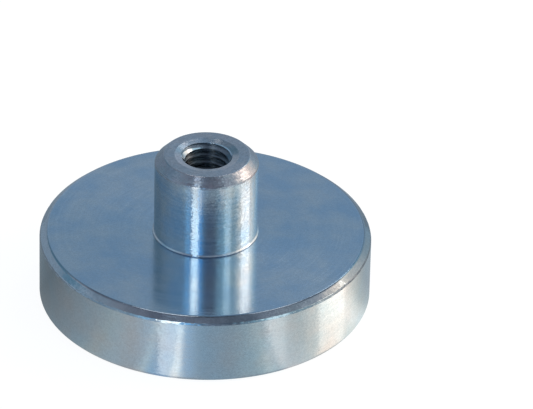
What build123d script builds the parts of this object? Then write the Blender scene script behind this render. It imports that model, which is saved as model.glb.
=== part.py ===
"""Pot magnet with a threaded bush.

A turned steel pot holds a disc magnet in a pocket. A threaded bush stands on the
pot's other side: its spigot goes through the pot's floor and is staked over inside,
and casting resin fills the gap round the magnet and the thin space behind it.

Millimetres. The origin is the centre of the holding face, and +Z runs along the
thread's axis to the bush's mouth.
"""

import os

from build123d import *

# ---- driving dimensions ----

# Pot: a cup turned from bar
pot_diameter = 32.0
pot_height = 7.0
pot_wall = 2.2
pot_floor = 2.4
pot_slope_width = 0.625
pot_slope_height = 0.438
pot_shoulder_radius = 0.6
pot_rim_chamfer = 0.35
pocket_edge_break = 0.12
pocket_corner_chamfer = 0.3

# Magnet, and the resin that holds it
magnet_edge_chamfer = 0.25
resin_gap = 0.5
resin_film = 0.1
resin_recess = 0.35

# Threaded bush
bush_diameter = 10.0
bush_height = 8.5
bush_mouth_chamfer = 0.85
bush_shoulder = 1.25
thread_core_diameter = 4.2
lead_in_width = 0.35
lead_in_depth = 0.417
dish_width = 0.65
dish_depth = 0.16

# Foot of the bush: a fine lip that is pushed out when the spigot is staked
foot_lip = 0.12
foot_edge_break = 0.08

# Staking: the spigot's end is spread into a chamfer on the inside of the pot's floor
stake_chamfer = 0.5

# ---- sizes that follow from them ----

pot_radius = pot_diameter / 2
pocket_radius = pot_radius - pot_wall
pocket_depth = pot_height - pot_floor

magnet_radius = pocket_radius - resin_gap
magnet_thickness = pocket_depth - resin_film

bush_radius = bush_diameter / 2
bush_top = pot_height + bush_height
spigot_radius = bush_radius - bush_shoulder
foot_radius = bush_radius + foot_lip
foot_lip_base = pot_height + foot_edge_break

thread_core_radius = thread_core_diameter / 2
lead_in_radius = thread_core_radius + lead_in_width
dish_radius = lead_in_radius + dish_width

# ---- pot ----

with BuildPart() as pot:
    with BuildSketch(Plane.XY):
        Circle(pot_radius)
    extrude(amount=pot_height)

    # The pocket opens in the holding face, and the bush's hole goes through its floor
    with BuildSketch(Plane.XY):
        Circle(pocket_radius)
    extrude(amount=pocket_depth, mode=Mode.SUBTRACT)
    with Locations((0, 0, pot_height)):
        Hole(spigot_radius)

    # Inside: the turned bevel in the pocket's corner, and the chamfer for the staking
    pocket_floor = pot.faces().filter_by(Plane.XY).group_by(Axis.Z)[1][0]
    chamfer(pocket_floor.outer_wire().edges(), pocket_corner_chamfer)
    pocket_floor = pot.faces().filter_by(Plane.XY).group_by(Axis.Z)[1][0]
    chamfer(pocket_floor.inner_wires()[0].edges(), stake_chamfer)

    # Outside: a shallow slope round the top face, rounded over into the side
    top_face = pot.faces().sort_by(Axis.Z)[-1]
    chamfer(top_face.outer_wire().edges(), pot_slope_width, pot_slope_height, reference=top_face)
    slope = pot.faces().filter_by(GeomType.CONE).sort_by(Axis.Z)[-1]
    fillet(slope.edges().filter_by(GeomType.CIRCLE).sort_by(Axis.Z)[0], pot_shoulder_radius)

    # Both edges of the rim
    rim = pot.faces().sort_by(Axis.Z)[0]
    chamfer(rim.outer_wire().edges(), pot_rim_chamfer)
    rim = pot.faces().sort_by(Axis.Z)[0]
    chamfer(rim.inner_wires()[0].edges(), pocket_edge_break)

# ---- magnet: a flat disc, flush with the rim ----

with BuildPart() as magnet:
    with BuildSketch(Plane.XY):
        Circle(magnet_radius)
    extrude(amount=magnet_thickness)
    chamfer(magnet.edges().filter_by(GeomType.CIRCLE), magnet_edge_chamfer)

# ---- adhesive: what the magnet leaves free of the pocket, but for the recess ----

with BuildPart() as adhesive:
    with BuildSketch(Plane.XY.offset(resin_recess)):
        Circle(pocket_radius)
    extrude(amount=pocket_depth - resin_recess)
    chamfer(adhesive.edges().group_by(Axis.Z)[-1], pocket_corner_chamfer)
    add(magnet.part, mode=Mode.SUBTRACT)

# ---- threaded bush: turned from bar, bored through, with a dished mouth ----

with BuildPart() as threaded_bush:
    with BuildSketch(Plane.XZ):
        with BuildLine():
            Polyline(
                # staked spigot
                (thread_core_radius, pocket_depth),
                (spigot_radius + stake_chamfer, pocket_depth),
                (spigot_radius, pocket_depth + stake_chamfer),
                (spigot_radius, pot_height),
                # shoulder and foot lip
                (foot_radius - foot_edge_break, pot_height),
                (foot_radius, foot_lip_base),
                (bush_radius, foot_lip_base + foot_lip),
                # barrel and mouth
                (bush_radius, bush_top - bush_mouth_chamfer),
                (bush_radius - bush_mouth_chamfer, bush_top),
                # dish, and the lead-in down to the bore
                (dish_radius, bush_top),
                (lead_in_radius, bush_top - dish_depth),
                (thread_core_radius, bush_top - dish_depth - lead_in_depth),
                close=True,
            )
        make_face()
    revolve(axis=Axis.Z)

# ---- one STEP file for each piece ----

pot.part.label = "pot"
magnet.part.label = "magnet"
adhesive.part.label = "adhesive"
threaded_bush.part.label = "threaded_bush"

os.makedirs("parts", exist_ok=True)
for piece in (pot.part, magnet.part, adhesive.part, threaded_bush.part):
    export_step(piece, f"parts/{piece.label}.step")
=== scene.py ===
import math

import bpy
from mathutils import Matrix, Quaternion, Vector


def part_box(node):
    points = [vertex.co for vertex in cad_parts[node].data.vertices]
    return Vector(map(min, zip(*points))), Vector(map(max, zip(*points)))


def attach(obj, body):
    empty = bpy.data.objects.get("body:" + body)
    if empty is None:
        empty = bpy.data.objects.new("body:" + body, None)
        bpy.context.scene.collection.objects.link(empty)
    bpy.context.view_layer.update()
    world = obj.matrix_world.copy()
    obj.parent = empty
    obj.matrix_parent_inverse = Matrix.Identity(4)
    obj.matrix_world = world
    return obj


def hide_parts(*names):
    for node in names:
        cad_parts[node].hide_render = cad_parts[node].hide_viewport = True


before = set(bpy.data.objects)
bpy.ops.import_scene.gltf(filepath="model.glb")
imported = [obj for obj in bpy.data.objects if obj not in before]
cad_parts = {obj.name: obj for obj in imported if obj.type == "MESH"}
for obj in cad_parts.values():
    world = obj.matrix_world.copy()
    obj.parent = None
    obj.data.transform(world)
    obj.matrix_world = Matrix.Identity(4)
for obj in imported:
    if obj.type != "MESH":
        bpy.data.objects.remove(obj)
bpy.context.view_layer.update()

bl_info = {
    "name": "Pot Magnet with Threaded Bush",
    "version": (1, 0, 0),
    "blender": (4, 5, 0),
    "location": "View3D > Sidebar > Pot Magnet",
    "description": "Builds the turned pot, the tapped bush, the magnet and its resin, and a small studio",
    "category": "Add Mesh",
}

MM = 0.001
MICRON = 1e-6
TURN = 2 * math.pi


def cad_size(node, axis):
    """Extent of a CAD node along one axis, in metres."""
    low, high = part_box(node)
    return high[axis] - low[axis]


def linear(hex_code):
    """An sRGB hex value as linear red, green and blue."""
    channels = [int(hex_code[i:i + 2], 16) / 255 for i in (0, 2, 4)]
    return tuple(c / 12.92 if c <= 0.04045 else ((c + 0.055) / 1.055) ** 2.4 for c in channels)


# ------------------------------------------------------- sizes and colours


def length(name, description, default):
    return bpy.props.FloatProperty(
        name=name,
        description=description,
        default=default,
        min=0.0,
        unit="LENGTH",
        subtype="DISTANCE",
        precision=5,
    )


def colour(name, description, hex_code):
    return bpy.props.FloatVectorProperty(
        name=name,
        description=description,
        default=linear(hex_code),
        min=0.0,
        max=1.0,
        size=3,
        subtype="COLOR",
    )


class PotMagnetSizes(bpy.types.PropertyGroup):
    """Sizes of the turned pieces, where the frame doesn't give them."""

    pot_radius: length("Pot radius", "Outside radius of the steel pot", cad_size("pot", 0) / 2)
    pot_height: length("Pot height", "Height of the steel pot", cad_size("pot", 2))
    slope_width: length("Slope width", "Width of the slope round the pot's top face", 0.65 * MM)
    slope_height: length("Slope height", "Height of the slope round the pot's top face", 0.55 * MM)
    shoulder: length("Shoulder", "Setback of the rounding below the slope", 0.13 * MM)
    rim_chamfer: length("Rim chamfer", "Chamfer round the holding face", 0.35 * MM)
    pocket_radius: length("Pocket radius", "Radius of the magnet's pocket", cad_size("adhesive", 0) / 2)
    pocket_corner: length("Pocket corner", "Turned bevel in the pocket's corner", 0.3 * MM)
    pocket_break: length("Pocket edge", "Edge break at the pocket's mouth", 0.12 * MM)
    magnet_radius: length("Magnet radius", "Radius of the magnet disc", cad_size("magnet", 0) / 2)
    magnet_height: length("Magnet thickness", "Thickness of the magnet disc", cad_size("magnet", 2))
    magnet_chamfer: length("Magnet chamfer", "Edge chamfer of the magnet disc", 0.25 * MM)
    resin_recess: length("Resin recess", "How far the resin lies behind the holding face", 0.35 * MM)
    bush_radius: length("Bush radius", "Outside radius of the bush's barrel", 5.0 * MM)
    spigot_radius: length("Spigot radius", "Radius of the spigot in the pot's floor", 3.75 * MM)
    stake_width: length("Staked lip", "How far the spigot's end is spread", 0.5 * MM)
    bush_chamfer: length("Bush chamfer", "Chamfer round the bush's mouth", 0.85 * MM)
    foot_break: length("Foot edge break", "Edge break under the bush's foot lip", 0.08 * MM)
    thread_core: length("Thread core radius", "Inside radius of the thread's crests", 2.1 * MM)
    thread_root: length("Thread root radius", "Radius of the thread's roots", 2.5 * MM)
    thread_pitch: length("Thread pitch", "Rise of the thread in one turn", 0.8 * MM)
    dish_radius: length("Dish radius", "Outside radius of the dished mouth", 3.1 * MM)
    dish_bottom: length("Dish bottom radius", "Radius at which the dish meets the lead-in", 2.45 * MM)
    dish_depth: length("Dish depth", "Depth of the dished mouth", 0.16 * MM)
    lead_in: length("Lead-in depth", "Depth at which the lead-in meets the thread's crests", 0.577 * MM)
    edge_round: length("Edge rounding", "Setback of the rounding on a turned edge", 0.12 * MM)


class PotMagnetColours(bpy.types.PropertyGroup):
    """Colours of the finishes, as the surface reflects."""

    zinc_blue: colour("Zinc, blue", "Blue passivated zinc plating", "AABDCF")
    zinc_grey: colour("Zinc, grey", "Duller patches of the zinc plating", "BFC7CF")
    side_blue: colour("Side, blue", "Zinc plating on the pot's side", "B8C3CC")
    side_grey: colour("Side, grey", "Duller patches on the pot's side and the barrel", "C0C1C5")
    edge_mauve: colour("Edges, mauve", "Thicker passivation on the bush's chamfer", "9B9BA6")
    edge_grey: colour("Edges, grey", "Thinner passivation on the bush's chamfer", "959DA7")
    mouth_grey: colour("Mouth, grey", "Rubbed plating on the bush's mouth", "BAB6B9")
    mouth_dull: colour("Mouth, dull", "Duller patches on the bush's mouth", "AEB1B8")
    # Darker than the plating outside: painted shade inside the tapped hole.
    bore: colour("Bore", "Thinly plated steel inside the thread", "747F8B")
    magnet_teal: colour("Magnet, teal", "Plating of the magnet disc", "A9BEC8")
    magnet_grey: colour("Magnet, grey", "Duller patches on the magnet disc", "B0B7BD")
    slope_thin: colour("Slope, thin", "Thin passivation on the pot's slope", "AEB6C0")
    # This darker film lies in random patches on the slope, and also gains towards +X, where it paints shade.
    slope_dark_and_shade: colour("Slope, thick", "Passivation on the pot's slope, where it drained", "7C8996")
    resin: colour("Resin", "Black casting resin round the magnet", "17191B")


# ------------------------------------------------------------- modelling


# What counts as one place, what is merged, and what counts as a sliver
SAME_PLACE = 1.0 * MICRON
MERGE_DISTANCE = 0.5 * MICRON
SLIVER = 0.1 * MICRON

# Facets round the axis
POT_STEPS = 600
BUSH_STEPS = 256
MAGNET_STEPS = 360
THREAD_STEPS = 128

# Setbacks of the roundings that are finer or coarser than a turned edge's
FACE_ROUND = 0.14 * MM
BARREL_ROUND = 0.09 * MM
MOUTH_ROUND = 0.06 * MM
MAGNET_ROUND = 0.08 * MM

# How far the flats' support points stand from a rounded corner, as a share of its setback
SUPPORT_SHARE = 1.3

# Upward parts of a face's normal: under the first it counts as a wall, and over the second as level
WALL = 0.2
LEVEL = 0.98


def deselect_all():
    if bpy.context.object and bpy.context.object.mode != "OBJECT":
        bpy.ops.object.mode_set(mode="OBJECT")
    bpy.ops.object.select_all(action="DESELECT")


def towards(point, other, distance):
    """The place at a distance from one point on the way to another."""
    share = distance / math.dist(point, other)
    return (point[0] + (other[0] - point[0]) * share, point[1] + (other[1] - point[1]) * share)


def support_points(outline, setbacks):
    """Adds a point each side of a rounded corner, so that smooth shading leaves the flats beside it flat."""
    result = []
    for i, point in enumerate(outline):
        if point in setbacks:
            reach = SUPPORT_SHARE * setbacks[point]
            following = outline[(i + 1) % len(outline)]
            result += [towards(point, outline[i - 1], reach), point, towards(point, following, reach)]
        else:
            result.append(point)
    return result


def draw_outline(name, points, closed=True):
    """Draws a half section: one vertex, extruded along the given pairs of radius and height."""
    deselect_all()
    bpy.ops.mesh.primitive_plane_add(size=1 * MM, location=(0, 0, 0))
    piece = bpy.context.object
    piece.name = name
    piece.data.name = name
    bpy.ops.object.mode_set(mode="EDIT")
    bpy.ops.mesh.select_all(action="SELECT")
    bpy.ops.mesh.merge(type="CENTER")
    bpy.ops.transform.translate(value=(points[0][0], 0, points[0][1]))
    ends = points[1:] + points[:1] if closed else points[1:]
    for (r0, z0), (r1, z1) in zip(points, ends):
        bpy.ops.mesh.extrude_region_move(TRANSFORM_OT_translate={"value": (r1 - r0, 0, z1 - z0)})
    if closed:
        bpy.ops.mesh.select_all(action="SELECT")
        bpy.ops.mesh.remove_doubles(threshold=MERGE_DISTANCE)
    bpy.ops.object.mode_set(mode="OBJECT")
    return piece


def select_vertices(piece, test):
    """Selects the vertices for which test(radius, height) holds, and stays in edit mode."""
    bpy.ops.object.mode_set(mode="EDIT")
    bpy.ops.mesh.select_mode(type="VERT")
    bpy.ops.mesh.select_all(action="DESELECT")
    bpy.ops.object.mode_set(mode="OBJECT")
    for vertex in piece.data.vertices:
        vertex.select = test(math.hypot(vertex.co.x, vertex.co.y), vertex.co.z)
    bpy.ops.object.mode_set(mode="EDIT")


def round_corners(piece, setbacks, segments=6):
    """Rounds the half section at the given corners, each by its own setback."""
    for corner, setback in setbacks.items():
        select_vertices(piece, lambda r, z: math.dist((r, z), corner) < SAME_PLACE)
        bpy.ops.mesh.bevel(offset=setback, segments=segments, affect="VERTICES")
        bpy.ops.object.mode_set(mode="OBJECT")


def weld(distance):
    """Merges the vertices that share a place, and removes the slivers between them."""
    bpy.ops.mesh.select_all(action="SELECT")
    bpy.ops.mesh.remove_doubles(threshold=distance)
    bpy.ops.mesh.dissolve_degenerate(threshold=SLIVER)


def spin(steps):
    """Turns the half section about the thread's axis, closes seam and poles, and turns the faces outwards."""
    bpy.ops.object.mode_set(mode="EDIT")
    bpy.ops.mesh.select_all(action="SELECT")
    bpy.ops.mesh.spin(steps=steps, angle=TURN, center=(0, 0, 0), axis=(0, 0, 1))
    weld(MERGE_DISTANCE)
    bpy.ops.mesh.select_all(action="SELECT")
    bpy.ops.mesh.normals_make_consistent(inside=False)
    bpy.ops.mesh.select_all(action="DESELECT")
    bpy.ops.object.mode_set(mode="OBJECT")


def batter_edge(piece, corner, reach, depth):
    """Gives a turned edge the small nicks and bruises that handling in bulk leaves."""
    select_vertices(piece, lambda r, z: math.dist((r, z), corner) < reach)
    # The edge is drawn in first, because the bruises go either way.
    bpy.ops.transform.shrink_fatten(value=-0.6 * depth)
    bpy.ops.transform.vertex_random(offset=depth, uniform=0.0, normal=1.0, seed=7)
    bpy.ops.mesh.vertices_smooth(factor=0.5, repeat=2)
    bpy.ops.object.mode_set(mode="OBJECT")


def give_material(piece, material, test=None):
    """Adds a material, and assigns it to the faces whose centre passes test(radius, height, normal)."""
    piece.data.materials.append(material)
    if test is None:
        return
    slot = len(piece.data.materials) - 1
    for face in piece.data.polygons:
        if test(math.hypot(face.center.x, face.center.y), face.center.z, face.normal):
            face.material_index = slot


# -------------------------------------------------------------- materials


# Sockets of a Mix node, where it mixes numbers and where it mixes colours
NUMBER_A, NUMBER_B = 2, 3
COLOUR_A, COLOUR_B, COLOUR_RESULT = 6, 7, 2

# Finishes for zinc_plating, each with what it gives the eye.
# The top face is a calm mirror with the finest rings.
FACE_FINISH = {"roughness": 0.15, "groove_depth": 0.3, "crystal_lean": 0.008, "sparkle": 0.04}
# The pot's side is satin, with soft upright bands.
SIDE_FINISH = {"roughness": 0.17, "groove_depth": 1.0, "crystal_lean": 0.022, "sparkle": 0.06}
# The slope is sharp and lively, and its darker film gains towards +X as painted shade.
SLOPE_FINISH = {
    # How much the darker film gains towards +X: painted shade on that side.
    "shade_towards_x": 0.35,
    "roughness": 0.10,
    "anisotropy": 0.8,
    "groove_depth": 1.2,
    "crystal_size": 0.15,
    "crystal_lean": 0.03,
    "patch_size": 6.0,
    "sparkle": 0.08,
}
# The rim is duller, with resin wiped over its inner edge.
RIM_FINISH = {"roughness": 0.24, "groove_depth": 0.6}
# The barrel has the coarsest rings, which fray its bright strips.
BARREL_FINISH = {
    "roughness": 0.17,
    "groove_pitch": 0.25,
    "groove_depth": 5.0,
    "crystal_size": 0.12,
    "crystal_lean": 0.05,
    "sparkle": 0.09,
}
# The bush's end face is even and slightly mottled.
MOUTH_FINISH = {
    "roughness": 0.17,
    "groove_depth": 0.5,
    "crystal_lean": 0.015,
    "patch_size": 1.0,
    "sparkle": 0.1,
}
# The chamfer round it is grainy, with small glints.
MOUTH_CHAMFER_FINISH = {
    "roughness": 0.25,
    "anisotropy": 0.8,
    "groove_depth": 2.0,
    "crystal_size": 0.16,
    "crystal_lean": 0.08,
    "patch_size": 1.2,
    "sparkle": 0.1,
}
# The lead-in catches one bright glint.
LEAD_IN_FINISH = {"roughness": 0.2, "groove_depth": 2.0, "crystal_lean": 0.06, "sparkle": 0.1}
# The thread is dull, and the darker bore colour it is given paints the shade inside the hole.
THREAD_FINISH = {"roughness": 0.33, "crystal_lean": 0.03}

# Radii between which the resin smear on the rim ends, and how softly
SMEAR_LEAST = 13.9 * MM
SMEAR_MOST = 14.25 * MM
SMEAR_EDGE = (-0.02 * MM, 0.03 * MM)


def add_node(tree, kind, links=None, **settings):
    """Adds a node, sets its properties and its inputs' values, and links inputs to other nodes' outputs."""
    node = tree.nodes.new(kind)
    values = settings.pop("inputs", {})
    for name, value in settings.items():
        setattr(node, name, value)
    for key, value in values.items():
        node.inputs[key].default_value = value
    for key, source in (links or {}).items():
        tree.links.new(source, node.inputs[key])
    return node


def span(low, high, to_low=0.0, to_high=1.0):
    """The inputs' values of a Map Range node that takes one range to another."""
    return {"From Min": low, "From Max": high, "To Min": to_low, "To Max": to_high}


def empty_tree(owner):
    """The node tree of a material or a world, with nothing in it."""
    owner.use_nodes = True
    owner.node_tree.nodes.clear()
    return owner.node_tree


def position_nodes(tree, source="Object"):
    """The place on the piece, its distance from the axis, and its direction round the axis."""
    place = add_node(tree, "ShaderNodeTexCoord").outputs[source]
    across = add_node(
        tree, "ShaderNodeVectorMath", {0: place}, operation="MULTIPLY", inputs={1: (1, 1, 0)}
    ).outputs[0]
    radius = add_node(tree, "ShaderNodeVectorMath", {0: across}, operation="LENGTH").outputs["Value"]
    around = add_node(tree, "ShaderNodeVectorMath", {0: across}, operation="NORMALIZE").outputs[0]
    return place, radius, around


def tool_rings(tree, place, radius, turned, pitch):
    """The tool's rings: noise over radius and height that drifts round the axis and closes on itself."""
    drift = 1.5
    height = add_node(tree, "ShaderNodeSeparateXYZ", {0: place}).outputs["Z"]
    section = add_node(
        tree, "ShaderNodeCombineXYZ", {"X": radius, "Y": height, "Z": turned.outputs["X"]}
    ).outputs[0]
    section = add_node(
        tree,
        "ShaderNodeVectorMath",
        {0: section},
        operation="MULTIPLY",
        inputs={1: (1 / (pitch * MM), 1 / (pitch * MM), drift)},
    ).outputs[0]
    other_way = add_node(
        tree, "ShaderNodeMath", {0: turned.outputs["Y"]}, operation="MULTIPLY", inputs={1: drift}
    ).outputs[0]
    return add_node(
        tree,
        "ShaderNodeTexNoise",
        {"Vector": section, "W": other_way},
        noise_dimensions="4D",
        inputs={"Scale": 1.0, "Detail": 2.0, "Roughness": 0.6},
    ).outputs["Fac"]


def crystal_nodes(tree, place, bumped, size, lean):
    """The zinc's crystals: the normal, leant another way in each cell, and a number of each cell's own."""
    cells = add_node(
        tree, "ShaderNodeTexVoronoi", {"Vector": place}, inputs={"Scale": 1 / (size * MM)}
    ).outputs["Color"]
    leaning = add_node(
        tree, "ShaderNodeVectorMath", {0: cells}, operation="SUBTRACT", inputs={1: (0.5, 0.5, 0.5)}
    ).outputs[0]
    normal = add_node(
        tree,
        "ShaderNodeVectorMath",
        {0: leaning, 2: bumped},
        operation="MULTIPLY_ADD",
        inputs={1: (lean, lean, lean)},
    ).outputs[0]
    normal = add_node(tree, "ShaderNodeVectorMath", {0: normal}, operation="NORMALIZE").outputs[0]
    return normal, add_node(tree, "ShaderNodeSeparateXYZ", {0: cells}).outputs["X"]


def film_colour(tree, place, turned, films, patch_size, shade_towards_x):
    """The passivation's colour: patches of two films, the second of which gains towards +X as painted shade.
    """
    patches = add_node(
        tree, "ShaderNodeTexNoise", {"Vector": place}, inputs={"Scale": 1 / (patch_size * MM), "Detail": 4.0}
    ).outputs["Fac"]
    # The second film gains with the cube of the direction towards +X: painted shade on that side.
    darkened = add_node(
        tree, "ShaderNodeMath", {0: turned.outputs["X"]}, operation="POWER", inputs={1: 3.0}
    ).outputs[0]
    patches = add_node(
        tree, "ShaderNodeMath", {0: darkened, 2: patches}, operation="MULTIPLY_ADD", inputs={1: shade_towards_x}
    ).outputs[0]
    return mixed_films(tree, patches, films)


def mixed_films(tree, patches, films):
    """Two films' colours, mixed by the contrasty middle of a noise."""
    share = add_node(tree, "ShaderNodeMapRange", {0: patches}, inputs=span(0.35, 0.65)).outputs[0]
    return add_node(
        tree,
        "ShaderNodeMix",
        {0: share},
        data_type="RGBA",
        inputs={COLOUR_A: (*films[0], 1), COLOUR_B: (*films[1], 1)},
    ).outputs[COLOUR_RESULT]


def smear_links(tree, place, radius, resin, tint, polish):
    """The shader's links where resin is wiped over the pocket's edge, fraying by a third of a millimetre."""
    fray = add_node(
        tree,
        "ShaderNodeTexNoise",
        {"Vector": place},
        inputs={"Scale": 1 / (0.5 * MM), "Detail": 4.0, "Roughness": 0.7},
    ).outputs["Fac"]
    reach = add_node(
        tree, "ShaderNodeMapRange", {0: fray}, inputs=span(0.4, 0.75, SMEAR_LEAST, SMEAR_MOST)
    ).outputs[0]
    wiped = add_node(tree, "ShaderNodeMath", {0: reach, 1: radius}, operation="SUBTRACT").outputs[0]
    wiped = add_node(tree, "ShaderNodeMapRange", {0: wiped}, inputs=span(*SMEAR_EDGE)).outputs[0]
    colour_mix = add_node(
        tree, "ShaderNodeMix", {0: wiped, COLOUR_A: tint}, data_type="RGBA", inputs={COLOUR_B: (*resin, 1)}
    )
    roughness_mix = add_node(tree, "ShaderNodeMix", {0: wiped, NUMBER_A: polish}, inputs={NUMBER_B: 0.45})
    metal = add_node(tree, "ShaderNodeMath", {1: wiped}, operation="SUBTRACT", inputs={0: 1.0})
    return {
        "Base Color": colour_mix.outputs[COLOUR_RESULT],
        "Roughness": roughness_mix.outputs[0],
        "Metallic": metal.outputs[0],
    }


def zinc_plating(
    name,
    films,
    roughness=0.2,
    anisotropy=0.9,
    groove_pitch=0.16,
    groove_depth=1.0,
    crystal_size=0.14,
    crystal_lean=0.01,
    patch_size=3.0,
    sparkle=0.06,
    shade_towards_x=0.0,
    smear=None,
):
    """Bright zinc plating on turned steel, blue passivated.

    The thin plating follows the rings that the turning tool left, so a lamp's reflection is drawn out along
    the axis or the radius, stays narrow round it, and frays from ring to ring. The crystals of the zinc give
    a fine sparkle, and the passivation is uneven, which gives faint blue and grey patches. Pitches and sizes
    are in millimetres, depths in thousandths of a millimetre. The rings are drawn coarser than the tool's
    real feed of about 0.1 mm, which would not show. The second film can gain towards +X, which paints shade
    on that side. Smear is the colour of resin wiped over the inner edge of the rim.
    """
    groove_polish = 0.35
    material = bpy.data.materials.new(name)
    tree = empty_tree(material)
    place, radius, around = position_nodes(tree)
    turned = add_node(tree, "ShaderNodeSeparateXYZ", {0: around})

    rings = tool_rings(tree, place, radius, turned, groove_pitch)
    bump = add_node(
        tree, "ShaderNodeBump", {"Height": rings}, inputs={"Strength": 1.0, "Distance": groove_depth * MICRON}
    )
    polish = add_node(
        tree,
        "ShaderNodeMapRange",
        {0: rings},
        inputs=span(0.3, 0.7, roughness * (1 - groove_polish), roughness * (1 + groove_polish)),
    ).outputs[0]

    normal, single = crystal_nodes(tree, place, bump.outputs["Normal"], crystal_size, crystal_lean)
    brightness = add_node(
        tree, "ShaderNodeMapRange", {0: single}, inputs=span(0.0, 1.0, 1 - sparkle, 1 + sparkle)
    ).outputs[0]
    tint = film_colour(tree, place, turned, films, patch_size, shade_towards_x)
    tint = add_node(
        tree, "ShaderNodeVectorMath", {0: tint, "Scale": brightness}, operation="SCALE"
    ).outputs[0]

    links = {
        "Base Color": tint,
        "Roughness": polish,
        "Normal": normal,
        "Tangent": add_node(tree, "ShaderNodeTangent", direction_type="RADIAL", axis="Z").outputs[0],
    }
    if smear is not None:
        links |= smear_links(tree, place, radius, smear, tint, polish)
    shader = add_node(
        tree,
        "ShaderNodeBsdfPrincipled",
        links,
        inputs={"Metallic": 1.0, "Anisotropic": anisotropy, "Anisotropic Rotation": 0.25},
    )
    add_node(tree, "ShaderNodeOutputMaterial", {"Surface": shader.outputs[0]})
    return material


def magnet_plating(name, films):
    """Plating over a ground magnet disc: even and satin, with a faint orange peel and clouded patches."""
    material = bpy.data.materials.new(name)
    tree = empty_tree(material)
    place, _, _ = position_nodes(tree)
    clouds = add_node(
        tree, "ShaderNodeTexNoise", {"Vector": place}, inputs={"Scale": 1 / (2.2 * MM), "Detail": 5.0}
    ).outputs["Fac"]
    peel = add_node(
        tree, "ShaderNodeTexNoise", {"Vector": place}, inputs={"Scale": 1 / (0.3 * MM), "Detail": 3.0}
    ).outputs["Fac"]
    dull = add_node(tree, "ShaderNodeMapRange", {0: peel}, inputs=span(0.3, 0.7, 0.24, 0.36))
    bump = add_node(
        tree, "ShaderNodeBump", {"Height": peel}, inputs={"Strength": 1.0, "Distance": 4 * MICRON}
    )
    shader = add_node(
        tree,
        "ShaderNodeBsdfPrincipled",
        {
            "Base Color": mixed_films(tree, clouds, films),
            "Roughness": dull.outputs[0],
            "Normal": bump.outputs["Normal"],
        },
        inputs={"Metallic": 1.0},
    )
    add_node(tree, "ShaderNodeOutputMaterial", {"Surface": shader.outputs[0]})
    return material


def cast_resin(name, black):
    """Black epoxy poured into the gap: glossy where it set smooth, dusty and dull where it dragged."""
    material = bpy.data.materials.new(name)
    tree = empty_tree(material)
    place, _, _ = position_nodes(tree)
    drag = add_node(
        tree,
        "ShaderNodeTexNoise",
        {"Vector": place},
        inputs={"Scale": 1 / (0.4 * MM), "Detail": 5.0, "Roughness": 0.6},
    ).outputs["Fac"]
    dusty = tuple(min(1.0, channel * 2.5 + 0.006) for channel in black)
    tint = add_node(
        tree,
        "ShaderNodeMix",
        {0: drag},
        data_type="RGBA",
        inputs={COLOUR_A: (*black, 1), COLOUR_B: (*dusty, 1)},
    )
    dull = add_node(tree, "ShaderNodeMapRange", {0: drag}, inputs=span(0.3, 0.7, 0.25, 0.6))
    bump = add_node(
        tree, "ShaderNodeBump", {"Height": drag}, inputs={"Strength": 1.0, "Distance": 30 * MICRON}
    )
    shader = add_node(
        tree,
        "ShaderNodeBsdfPrincipled",
        {
            "Base Color": tint.outputs[COLOUR_RESULT],
            "Roughness": dull.outputs[0],
            "Normal": bump.outputs["Normal"],
        },
        inputs={"IOR": 1.55},
    )
    add_node(tree, "ShaderNodeOutputMaterial", {"Surface": shader.outputs[0]})
    return material


# ------------------------------------------------------------ turned pieces


class MESH_OT_pot_magnet_pot(bpy.types.Operator):
    """Turn the steel pot"""

    bl_idname = "mesh.pot_magnet_pot"
    bl_label = "Turned Pot"

    def execute(self, context):
        s = context.scene.pot_magnet_sizes
        c = context.scene.pot_magnet_colours
        top = s.pot_height
        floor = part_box("adhesive")[1].z
        rim_out = (s.pot_radius - s.rim_chamfer, 0.0)
        side_low = (s.pot_radius, s.rim_chamfer)
        side_high = (s.pot_radius, top - s.slope_height)
        face_out = (s.pot_radius - s.slope_width, top)
        setbacks = {
            rim_out: s.edge_round,
            side_low: s.edge_round,
            side_high: s.shoulder,
            face_out: FACE_ROUND,
        }
        outline = [
            rim_out,
            side_low,
            side_high,
            face_out,
            # hole for the bush, chamfered inside for the staking
            (s.spigot_radius, top),
            (s.spigot_radius, floor + s.stake_width),
            (s.spigot_radius + s.stake_width, floor),
            # pocket
            (s.pocket_radius - s.pocket_corner, floor),
            (s.pocket_radius, floor - s.pocket_corner),
            (s.pocket_radius, s.pocket_break),
            (s.pocket_radius + s.pocket_break, 0.0),
        ]
        pot = draw_outline("turned_pot", support_points(outline, setbacks))
        round_corners(pot, setbacks)
        spin(POT_STEPS)
        batter_edge(pot, side_high, reach=0.12 * MM, depth=0.03 * MM)
        bpy.ops.object.shade_smooth_by_angle(angle=math.radians(30))

        side = (c.side_blue, c.side_grey)
        outer_band = s.pot_radius - 1.0 * MM
        rim_top = 0.5 * MM
        give_material(pot, zinc_plating("zinc_turned_face", (c.zinc_blue, c.zinc_grey), **FACE_FINISH))
        give_material(
            pot,
            zinc_plating("zinc_turned_side", side, **SIDE_FINISH),
            lambda r, z, n: abs(n.z) < WALL and r > outer_band,
        )
        # The slope's darker film gains towards +X, which paints shade on that side.
        give_material(
            pot,
            zinc_plating("zinc_slope", (c.slope_thin, c.slope_dark_and_shade), **SLOPE_FINISH),
            lambda r, z, n: WALL <= n.z < LEVEL and r > outer_band,
        )
        give_material(
            pot,
            zinc_plating("zinc_rim", side, smear=c.resin, **RIM_FINISH),
            lambda r, z, n: z < rim_top and n.z < -WALL,
        )
        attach(pot, "root")
        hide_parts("pot")
        return {"FINISHED"}


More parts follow.
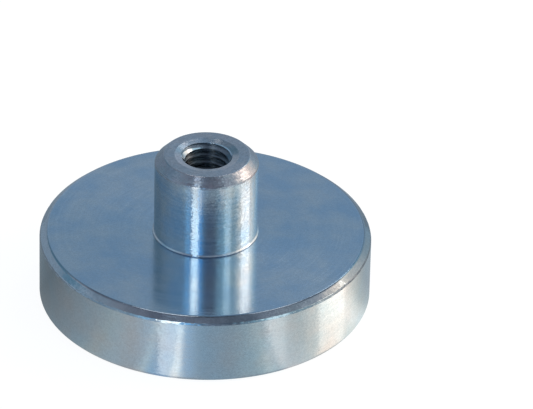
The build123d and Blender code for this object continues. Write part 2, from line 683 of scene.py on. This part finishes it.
def close_end(tap, middle, above):
    """Closes one end of the tap: the open edge is drawn out along the axis and merged to a point."""
    bpy.ops.object.mode_set(mode="EDIT")
    bpy.ops.mesh.select_all(action="DESELECT")
    bpy.ops.mesh.select_non_manifold()
    bpy.ops.object.mode_set(mode="OBJECT")
    for vertex in tap.data.vertices:
        if (vertex.co.z > middle) != above:
            vertex.select = False
    for edge in tap.data.edges:
        edge.select = all(tap.data.vertices[i].select for i in edge.vertices) and edge.select
    bpy.ops.object.mode_set(mode="EDIT")
    bpy.ops.mesh.extrude_region_move(TRANSFORM_OT_translate={"value": (0, 0, (2 if above else -2) * MM)})
    bpy.ops.mesh.merge(type="CENTER")
    bpy.ops.object.mode_set(mode="OBJECT")


def thread_tap(s, low, high):
    """The tap: a closed right-hand screw whose ridge is the thread's groove, longer than the bore it cuts."""
    # The ridge starts a little inside the thread's crests, so that it cuts the bore's wall cleanly.
    inner = s.thread_core - 0.05 * MM
    flank = (s.thread_root - inner) * math.tan(math.radians(30))
    root_flat = s.thread_pitch / 6
    # The phase lets the groove run out of the bore's lower end without touching its own edge.
    phase = 0.093 * MM
    start = low - 1.5 * s.thread_pitch + phase
    turns = math.ceil((high - low) / s.thread_pitch) + 3
    groove = [
        (inner, start),
        (s.thread_root, start + flank),
        (s.thread_root, start + flank + root_flat),
        (inner, start + 2 * flank + root_flat),
        (inner, start + s.thread_pitch),
    ]
    tap = draw_outline("tap", groove, closed=False)
    screw = tap.modifiers.new("thread", "SCREW")
    screw.axis = "Z"
    screw.angle = TURN
    screw.screw_offset = s.thread_pitch
    screw.iterations = turns
    screw.steps = screw.render_steps = THREAD_STEPS
    screw.use_merge_vertices = True
    screw.merge_threshold = SAME_PLACE
    bpy.ops.object.modifier_apply(modifier="thread")
    bpy.ops.object.mode_set(mode="EDIT")
    bpy.ops.mesh.select_all(action="SELECT")
    bpy.ops.mesh.remove_doubles(threshold=MERGE_DISTANCE)
    bpy.ops.object.mode_set(mode="OBJECT")
    for above in (False, True):
        close_end(tap, (low + high) / 2, above)
    bpy.ops.object.mode_set(mode="EDIT")
    bpy.ops.mesh.select_all(action="SELECT")
    bpy.ops.mesh.normals_make_consistent(inside=False)
    bpy.ops.object.mode_set(mode="OBJECT")
    return tap


def cut_thread(bush, tap):
    """Cuts the thread with the tap, and cleans the slivers where the groove crosses the bore's edges."""
    deselect_all()
    bpy.context.view_layer.objects.active = bush
    bush.select_set(True)
    cut = bush.modifiers.new("tapped", "BOOLEAN")
    cut.operation = "DIFFERENCE"
    cut.solver = "EXACT"
    cut.object = tap
    bpy.ops.object.modifier_apply(modifier="tapped")
    bpy.data.meshes.remove(tap.data)
    bpy.ops.object.mode_set(mode="EDIT")
    weld(SLIVER)
    bpy.ops.mesh.select_all(action="DESELECT")
    bpy.ops.object.mode_set(mode="OBJECT")


class MESH_OT_pot_magnet_bush(bpy.types.Operator):
    """Turn and tap the bush"""

    bl_idname = "mesh.pot_magnet_bush"
    bl_label = "Tapped Bush"

    def execute(self, context):
        s = context.scene.pot_magnet_sizes
        c = context.scene.pot_magnet_colours
        low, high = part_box("threaded_bush")
        lip = (high.x - low.x) / 2 - s.bush_radius
        foot = s.pot_height
        barrel_top = (s.bush_radius, high.z - s.bush_chamfer)
        mouth = (s.bush_radius - s.bush_chamfer, high.z)
        setbacks = {barrel_top: BARREL_ROUND, mouth: MOUTH_ROUND}
        outline = [
            # staked spigot
            (s.thread_core, low.z),
            (s.spigot_radius + s.stake_width, low.z),
            (s.spigot_radius, low.z + s.stake_width),
            (s.spigot_radius, foot),
            # shoulder and foot lip
            (s.bush_radius + lip - s.foot_break, foot),
            (s.bush_radius + lip, foot + s.foot_break),
            (s.bush_radius, foot + s.foot_break + lip),
            # barrel and mouth
            barrel_top,
            mouth,
            # dish, and the lead-in down to the bore
            (s.dish_radius, high.z),
            (s.dish_bottom, high.z - s.dish_depth),
            (s.thread_core, high.z - s.lead_in),
        ]
        bush = draw_outline("tapped_bush", support_points(outline, setbacks))
        round_corners(bush, setbacks)
        spin(BUSH_STEPS)
        cut_thread(bush, thread_tap(s, low.z, high.z))
        batter_edge(bush, barrel_top, reach=0.09 * MM, depth=0.024 * MM)
        bpy.ops.object.shade_smooth_by_angle(angle=math.radians(11))

        upper_end = high.z - 1.5 * MM
        mouth_level = high.z - 0.5 * MM
        chamfer_inside = s.bush_radius - 1.0 * MM
        # Under this upward part of the normal, the mouth's rounded edge belongs to the chamfer.
        nearly_level = 0.9
        give_material(bush, zinc_plating("zinc_barrel", (c.zinc_blue, c.side_grey), **BARREL_FINISH))
        give_material(
            bush,
            zinc_plating("zinc_mouth", (c.mouth_grey, c.mouth_dull), **MOUTH_FINISH),
            lambda r, z, n: n.z > nearly_level and z > mouth_level and r > s.dish_bottom,
        )
        give_material(
            bush,
            zinc_plating("zinc_mouth_chamfer", (c.edge_mauve, c.edge_grey), **MOUTH_CHAMFER_FINISH),
            lambda r, z, n: WALL <= n.z < nearly_level and z > upper_end and r > chamfer_inside,
        )
        # The bore's darker colour paints the shade inside the hole.
        give_material(
            bush,
            zinc_plating("zinc_thread", (c.bore, c.bore), **THREAD_FINISH),
            lambda r, z, n: r < s.dish_bottom and n.z < LEVEL,
        )
        # The lead-in's normals rise by 0.64, and those of the thread's flanks by 0.87.
        give_material(
            bush,
            zinc_plating("zinc_lead_in", (c.zinc_blue, c.zinc_grey), **LEAD_IN_FINISH),
            lambda r, z, n: r < s.dish_bottom and 0.55 < n.z < 0.75 and z > high.z - s.lead_in,
        )
        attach(bush, "root")
        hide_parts("threaded_bush")
        return {"FINISHED"}


class MESH_OT_pot_magnet_magnet(bpy.types.Operator):
    """Make the magnet disc and the resin that holds it"""

    bl_idname = "mesh.pot_magnet_magnet"
    bl_label = "Magnet and Resin"

    def execute(self, context):
        s = context.scene.pot_magnet_sizes
        c = context.scene.pot_magnet_colours
        r, h, e = s.magnet_radius, s.magnet_height, s.magnet_chamfer
        setbacks = {(r - e, 0.0): MAGNET_ROUND, (r, e): MAGNET_ROUND}
        outline = [(0.0, 0.0), (r - e, 0.0), (r, e), (r, h - e), (r - e, h), (0.0, h)]
        magnet = draw_outline("magnet_disc", support_points(outline, setbacks), closed=False)
        round_corners(magnet, setbacks, segments=4)
        spin(MAGNET_STEPS)
        bpy.ops.object.shade_smooth_by_angle(angle=math.radians(30))
        give_material(magnet, magnet_plating("plated_magnet", (c.magnet_teal, c.magnet_grey)))
        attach(magnet, "root")
        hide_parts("magnet")

        # The resin's open surface climbs a little at both walls, as a liquid does.
        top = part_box("adhesive")[1].z
        corner = s.pocket_corner
        wall = s.pocket_radius
        level = s.resin_recess
        climb = 0.2 * MM
        waviness = 0.035 * MM
        steps = 6
        skin = [
            (r + (wall - r) * step / steps, level - climb * (2 * step / steps - 1) ** 4)
            for step in range(steps + 1)
        ]
        outline = [
            (0.0, h),
            (r - e, h),
            (r, h - e),
            *skin,
            (wall, top - corner),
            (wall - corner, top),
            (0.0, top),
        ]
        resin = draw_outline("resin_ring", outline, closed=False)
        spin(MAGNET_STEPS)
        skin_limit = level + 0.01 * MM
        select_vertices(resin, lambda radius, z: z < skin_limit)
        bpy.ops.transform.vertex_random(offset=waviness, uniform=0.0, normal=0.0, seed=4)
        bpy.ops.mesh.vertices_smooth(factor=0.5, repeat=1)
        bpy.ops.object.mode_set(mode="OBJECT")
        bpy.ops.object.shade_smooth_by_angle(angle=math.radians(50))
        give_material(resin, cast_resin("casting_resin", c.resin))
        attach(resin, "root")
        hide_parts("adhesive")
        return {"FINISHED"}


# ------------------------------------------------------------------ studio


# Light of the room's walls, then of the table's sheet, in degrees round the part from its back: a dark front,
# a bluish left with a blue glow each side of the left strip, and a bright right. A brightest channel goes
# with each, because a ramp's colours end at 1.
ROOM_BRIGHTEST = 3.5
ROOM = (
    (-180, (0.265, 0.39, 0.52)),
    (-175, (0.25, 0.36, 0.47)),
    (-160, (0.13, 0.25, 0.34)),
    (-125, (0.14, 0.29, 0.40)),
    (-75, (0.26, 0.49, 0.65)),
    (-50, (0.36, 0.60, 0.74)),
    (-43, (0.52, 1.06, 1.42)),
    (-36, (0.60, 1.42, 2.05)),
    (-31, (0.36, 0.58, 0.84)),
    (-20, (0.50, 0.50, 0.45)),
    (-15, (0.50, 1.25, 1.95)),
    (-10, (0.28, 1.10, 1.98)),
    (-5, (0.16, 0.43, 0.67)),
    (4, (0.05, 0.11, 0.21)),
    (19, (0.08, 0.13, 0.19)),
    (35, (0.62, 1.08, 1.20)),
    (43, (0.76, 1.24, 1.28)),
    (64, (0.58, 0.93, 0.97)),
    (72, (0.75, 1.10, 1.13)),
    (80, (2.40, 2.24, 1.84)),
    (110, (3.20, 2.40, 1.80)),
    (122, (3.25, 2.70, 2.10)),
    (137, (1.10, 1.30, 1.25)),
    (150, (0.56, 0.90, 1.08)),
    (168, (0.35, 0.51, 0.69)),
    (175, (0.29, 0.43, 0.58)),
    (180, (0.265, 0.39, 0.52)),
)
TABLE_BRIGHTEST = 1.3
TABLE = (
    (-180, (0.31, 0.40, 0.48)),
    (-90, (0.18, 0.20, 0.21)),
    (-60, (0.37, 0.40, 0.41)),
    (-52, (0.41, 0.47, 0.49)),
    (-45, (0.53, 0.56, 0.53)),
    (-37, (0.57, 0.62, 0.63)),
    (-26, (0.57, 0.59, 0.61)),
    (-22.5, (0.76, 0.79, 0.76)),
    (-20, (0.50, 0.61, 0.71)),
    (-15, (0.38, 0.61, 0.90)),
    (-12.8, (0.42, 0.65, 0.90)),
    (-10.4, (1.12, 1.15, 1.15)),
    (-8.2, (0.60, 0.68, 0.75)),
    (0, (0.42, 0.57, 0.68)),
    (20, (0.44, 0.56, 0.62)),
    (25, (0.58, 0.68, 0.70)),
    (28.3, (0.56, 0.60, 0.63)),
    (31.3, (1.02, 0.97, 0.94)),
    (46, (0.74, 0.78, 0.75)),
    (55, (0.82, 0.84, 0.80)),
    (65, (0.93, 1.08, 1.06)),
    (72, (1.22, 1.27, 1.23)),
    (77, (1.10, 1.12, 1.06)),
    (84, (0.62, 0.66, 0.64)),
    (95, (0.42, 0.44, 0.45)),
    (180, (0.31, 0.40, 0.48)),
)

# Light of the ceiling across the room, from -X at -1 to +X at 1
CEILING = (
    (-0.80, (0.55, 0.66, 0.77)),
    (-0.68, (0.49, 0.60, 0.70)),
    (-0.60, (0.38, 0.42, 0.49)),
    (-0.40, (0.27, 0.30, 0.37)),
    (0.00, (0.26, 0.30, 0.37)),
    (0.25, (0.31, 0.35, 0.41)),
    (0.45, (0.33, 0.38, 0.45)),
    (0.55, (0.36, 0.41, 0.46)),
    (0.63, (0.54, 0.61, 0.66)),
    (0.70, (0.96, 0.98, 1.00)),
    (0.76, (1.05, 0.98, 0.98)),
)

# The grey at the walls' foot and the dark opening overhead, as shares of the room's brightest channel
WALL_FOOT = (0.16, 0.18, 0.205, 1)
OPENING = (0.01, 0.01, 0.012, 1)

# Soft lamps: name, azimuth and elevation in degrees, width and height in metres, radiance, and tint
LAMP_DISTANCE = 0.5
LAMPS = (
    ("left_strip", -22.8, 23.5, 0.12, 0.34, 2.8, (1.0, 1.0, 0.88)),
    ("middle_strip", 50, 22, 0.115, 0.28, 1.05, (0.95, 1.0, 0.95)),
    ("right_box", 98, 29.5, 0.21, 0.055, 5.9, (1.0, 0.83, 0.67)),
    ("left_glow", -27, 55, 0.08, 0.065, 2.4, (0.66, 0.86, 1.0)),
    ("right_glow", 54, 50, 0.12, 0.07, 0.55, (0.9, 0.95, 1.0)),
    ("ceiling_left", -155, 73, 0.045, 0.2, 2.5, (1.0, 1.0, 1.0)),
    ("ceiling_right", 142, 65, 0.05, 0.12, 2.0, (1.0, 1.0, 1.0)),
    ("back_right", 151, 47, 0.06, 0.12, 2.5, (1.0, 1.0, 1.0)),
)

# Floor: its width, and how far it lies below the holding face
FLOOR_SIZE = 4.0
FLOOR_GAP = 0.02 * MM

# Camera: it stands on the side of -Y. Its lens follows from a focal length and a width in pixels, and from
# the sensor's width in millimetres.
CAMERA_ELEVATION = math.radians(32.666)
CAMERA_DISTANCE = 541.88 * MM
CAMERA_AIM = Vector((5.814, 0, 9.987)) * MM
CAMERA_ROLL = math.radians(1.399)
FOCAL_PIXELS = 5581.4
WIDTH_PIXELS = 533
SENSOR_WIDTH = 36


def add_softbox(name, azimuth, elevation, width, height, radiance, tint):
    """A rectangular lamp that looks at the part. Azimuth 0 is the camera's side and 90 is +X."""
    a, e = math.radians(azimuth), math.radians(elevation)
    place = Vector((math.sin(a) * math.cos(e), -math.cos(a) * math.cos(e), math.sin(e))) * LAMP_DISTANCE
    deselect_all()
    bpy.ops.object.light_add(type="AREA", location=place, rotation=place.to_track_quat("Z", "Y").to_euler())
    lamp = bpy.context.object
    lamp.name = name
    lamp.data.shape = "RECTANGLE"
    lamp.data.size = width
    lamp.data.size_y = height
    lamp.data.energy = radiance * math.pi * width * height
    lamp.data.color = tint
    lamp.visible_camera = False


def ramp_colours(tree, source, stops, brightest):
    """Colours along a number from 0 to 1, from stops of position and colour, divided by the brightest."""
    node = add_node(tree, "ShaderNodeValToRGB", {"Fac": source})
    ramp = node.color_ramp
    while len(ramp.elements) < len(stops):
        ramp.elements.new(0.5)
    for element, (position, tint) in zip(ramp.elements, stops):
        element.position = position
        element.color = (*(channel / brightest for channel in tint), 1)
    return node.outputs["Color"]


def azimuth_colours(tree, direction, stops, brightest):
    """Colours round the vertical axis, from stops of degrees and colour, with 0 on the camera's side."""
    part = add_node(tree, "ShaderNodeSeparateXYZ", {0: direction})
    front = add_node(
        tree, "ShaderNodeMath", {0: part.outputs["Y"]}, operation="MULTIPLY", inputs={1: -1.0}
    )
    azimuth = add_node(
        tree, "ShaderNodeMath", {0: part.outputs["X"], 1: front.outputs[0]}, operation="ARCTAN2"
    )
    turn = add_node(tree, "ShaderNodeMapRange", {0: azimuth.outputs[0]}, inputs=span(-math.pi, math.pi))
    stops = [((degrees + 180) / 360, tint) for degrees, tint in stops]
    return ramp_colours(tree, turn.outputs[0], stops, brightest)


def smooth_step(tree, source, low, high, to_low=0.0, to_high=1.0):
    """A soft change from one value to another where the source goes from low to high."""
    return add_node(
        tree,
        "ShaderNodeMapRange",
        {0: source},
        interpolation_type="SMOOTHSTEP",
        inputs=span(low, high, to_low, to_high),
    ).outputs[0]


def room_colours(tree):
    """Walls that change round the part, a ceiling that changes across it, and a dark opening overhead."""
    direction, _, around = position_nodes(tree, "Generated")
    sideways, backwards, height = add_node(tree, "ShaderNodeSeparateXYZ", {0: direction}).outputs

    # Low down, half of the walls' light gives way to the grey at their foot.
    walls = add_node(
        tree,
        "ShaderNodeMix",
        {
            0: smooth_step(tree, height, 0.45, 0.53, 0.5, 0.0),
            COLOUR_A: azimuth_colours(tree, direction, ROOM, ROOM_BRIGHTEST),
        },
        data_type="RGBA",
        inputs={COLOUR_B: WALL_FOOT},
    ).outputs[COLOUR_RESULT]

    # The ceiling starts higher behind the part, and straight behind it there is none.
    behind = add_node(
        tree, "ShaderNodeMapRange", {0: backwards}, inputs=span(0.4, 1.0, 0.0, 0.25)
    ).outputs[0]
    lifted = add_node(tree, "ShaderNodeMath", {0: height, 1: behind}, operation="SUBTRACT").outputs[0]
    straight_back = add_node(tree, "ShaderNodeSeparateXYZ", {0: around}).outputs["Y"]
    ceiling = add_node(
        tree,
        "ShaderNodeMath",
        {0: smooth_step(tree, lifted, 0.55, 0.70), 1: smooth_step(tree, straight_back, 0.98, 0.86)},
        operation="MULTIPLY",
    ).outputs[0]
    across = add_node(tree, "ShaderNodeMapRange", {0: sideways}, inputs=span(-1.0, 1.0)).outputs[0]
    overhead = ramp_colours(tree, across, [((x + 1) / 2, tint) for x, tint in CEILING], ROOM_BRIGHTEST)
    room = add_node(
        tree, "ShaderNodeMix", {0: ceiling, COLOUR_A: walls, COLOUR_B: overhead}, data_type="RGBA"
    ).outputs[COLOUR_RESULT]

    return add_node(
        tree,
        "ShaderNodeMix",
        {0: smooth_step(tree, height, 0.975, 0.99), COLOUR_A: room},
        data_type="RGBA",
        inputs={COLOUR_B: OPENING},
    ).outputs[COLOUR_RESULT]


def shader_mix(tree, share, one, other):
    """Two shaders, mixed by a number or by a node's output. The share is the other shader's."""
    if isinstance(share, float):
        node = add_node(tree, "ShaderNodeMixShader", {1: one, 2: other}, inputs={0: share})
    else:
        node = add_node(tree, "ShaderNodeMixShader", {0: share, 1: one, 2: other})
    return node.outputs[0]


def studio_world(scene):
    """White behind the part for the camera, and a soft bluish room for everything that mirrors it."""
    scene.world = bpy.data.worlds.new("studio")
    tree = empty_tree(scene.world)
    room = add_node(
        tree, "ShaderNodeBackground", {"Color": room_colours(tree)}, inputs={"Strength": ROOM_BRIGHTEST}
    )
    white = add_node(tree, "ShaderNodeBackground", inputs={"Color": (1, 1, 1, 1)})
    path = add_node(tree, "ShaderNodeLightPath")
    both = shader_mix(tree, path.outputs["Is Camera Ray"], room.outputs[0], white.outputs[0])
    add_node(tree, "ShaderNodeOutputWorld", {"Surface": both})


def pale_table(name):
    """A pale table: white for the camera, and for metal a satin sheet that mirrors a fifth of each lamp."""
    mirror_share = 0.22
    white_share = 0.75
    material = bpy.data.materials.new(name)
    tree = empty_tree(material)
    matt = add_node(tree, "ShaderNodeBsdfDiffuse", inputs={"Color": (0.8, 0.8, 0.8, 1)})
    white = add_node(tree, "ShaderNodeEmission", inputs={"Color": (1, 1, 1, 1), "Strength": 1.2})
    seen = shader_mix(tree, white_share, matt.outputs[0], white.outputs[0])
    place = add_node(tree, "ShaderNodeTexCoord").outputs["Object"]
    sheet = azimuth_colours(tree, place, TABLE, TABLE_BRIGHTEST)
    glow = add_node(tree, "ShaderNodeEmission", {"Color": sheet}, inputs={"Strength": TABLE_BRIGHTEST})
    gloss = add_node(tree, "ShaderNodeBsdfGlossy", inputs={"Color": (1, 1, 1, 1), "Roughness": 0.1})
    mirrored = shader_mix(tree, mirror_share, glow.outputs[0], gloss.outputs[0])
    path = add_node(tree, "ShaderNodeLightPath")
    unseen = shader_mix(tree, path.outputs["Is Glossy Ray"], matt.outputs[0], mirrored)
    surface = shader_mix(tree, path.outputs["Is Camera Ray"], unseen, seen)
    add_node(tree, "ShaderNodeOutputMaterial", {"Surface": surface})
    return material


class OBJECT_OT_pot_magnet_stage(bpy.types.Operator):
    """Add the floor, the lamps, the surroundings and the camera"""

    bl_idname = "object.pot_magnet_stage"
    bl_label = "Studio"

    def execute(self, context):
        deselect_all()
        bpy.ops.mesh.primitive_plane_add(size=FLOOR_SIZE, location=(0, 0, -FLOOR_GAP))
        floor = bpy.context.object
        floor.name = "studio_floor"
        floor.data.materials.append(pale_table("pale_table"))

        studio_world(context.scene)
        for lamp in LAMPS:
            add_softbox(*lamp)

        place = Vector((0, -math.cos(CAMERA_ELEVATION), math.sin(CAMERA_ELEVATION))) * CAMERA_DISTANCE
        turn = (place - CAMERA_AIM).to_track_quat("Z", "Y") @ Quaternion((0, 0, 1), CAMERA_ROLL)
        bpy.ops.object.camera_add(location=place, rotation=turn.to_euler())
        camera = bpy.context.object
        camera.data.lens = FOCAL_PIXELS / WIDTH_PIXELS * SENSOR_WIDTH
        camera.data.clip_start = 0.01
        camera.data.clip_end = 20.0
        context.scene.camera = camera
        context.scene.view_settings.view_transform = "Standard"
        return {"FINISHED"}


# ------------------------------------------------------------------- panel


class VIEW3D_PT_pot_magnet(bpy.types.Panel):
    """Lists the pot magnet's pieces"""

    bl_idname = "VIEW3D_PT_pot_magnet"
    bl_label = "Pot Magnet"
    bl_space_type = "VIEW_3D"
    bl_region_type = "UI"
    bl_category = "Pot Magnet"

    def draw(self, context):
        for operator in OPERATORS:
            self.layout.operator(operator.bl_idname)


OPERATORS = (
    MESH_OT_pot_magnet_pot,
    MESH_OT_pot_magnet_bush,
    MESH_OT_pot_magnet_magnet,
    OBJECT_OT_pot_magnet_stage,
)
CLASSES = (PotMagnetSizes, PotMagnetColours, *OPERATORS, VIEW3D_PT_pot_magnet)


def register():
    for cls in CLASSES:
        bpy.utils.register_class(cls)
    bpy.types.Scene.pot_magnet_sizes = bpy.props.PointerProperty(type=PotMagnetSizes)
    bpy.types.Scene.pot_magnet_colours = bpy.props.PointerProperty(type=PotMagnetColours)


def unregister():
    del bpy.types.Scene.pot_magnet_colours
    del bpy.types.Scene.pot_magnet_sizes
    for cls in reversed(CLASSES):
        bpy.utils.unregister_class(cls)


def main():
    register()
    bpy.ops.mesh.pot_magnet_pot()
    bpy.ops.mesh.pot_magnet_bush()
    bpy.ops.mesh.pot_magnet_magnet()
    bpy.ops.object.pot_magnet_stage()


if __name__ == "__main__":
    main()
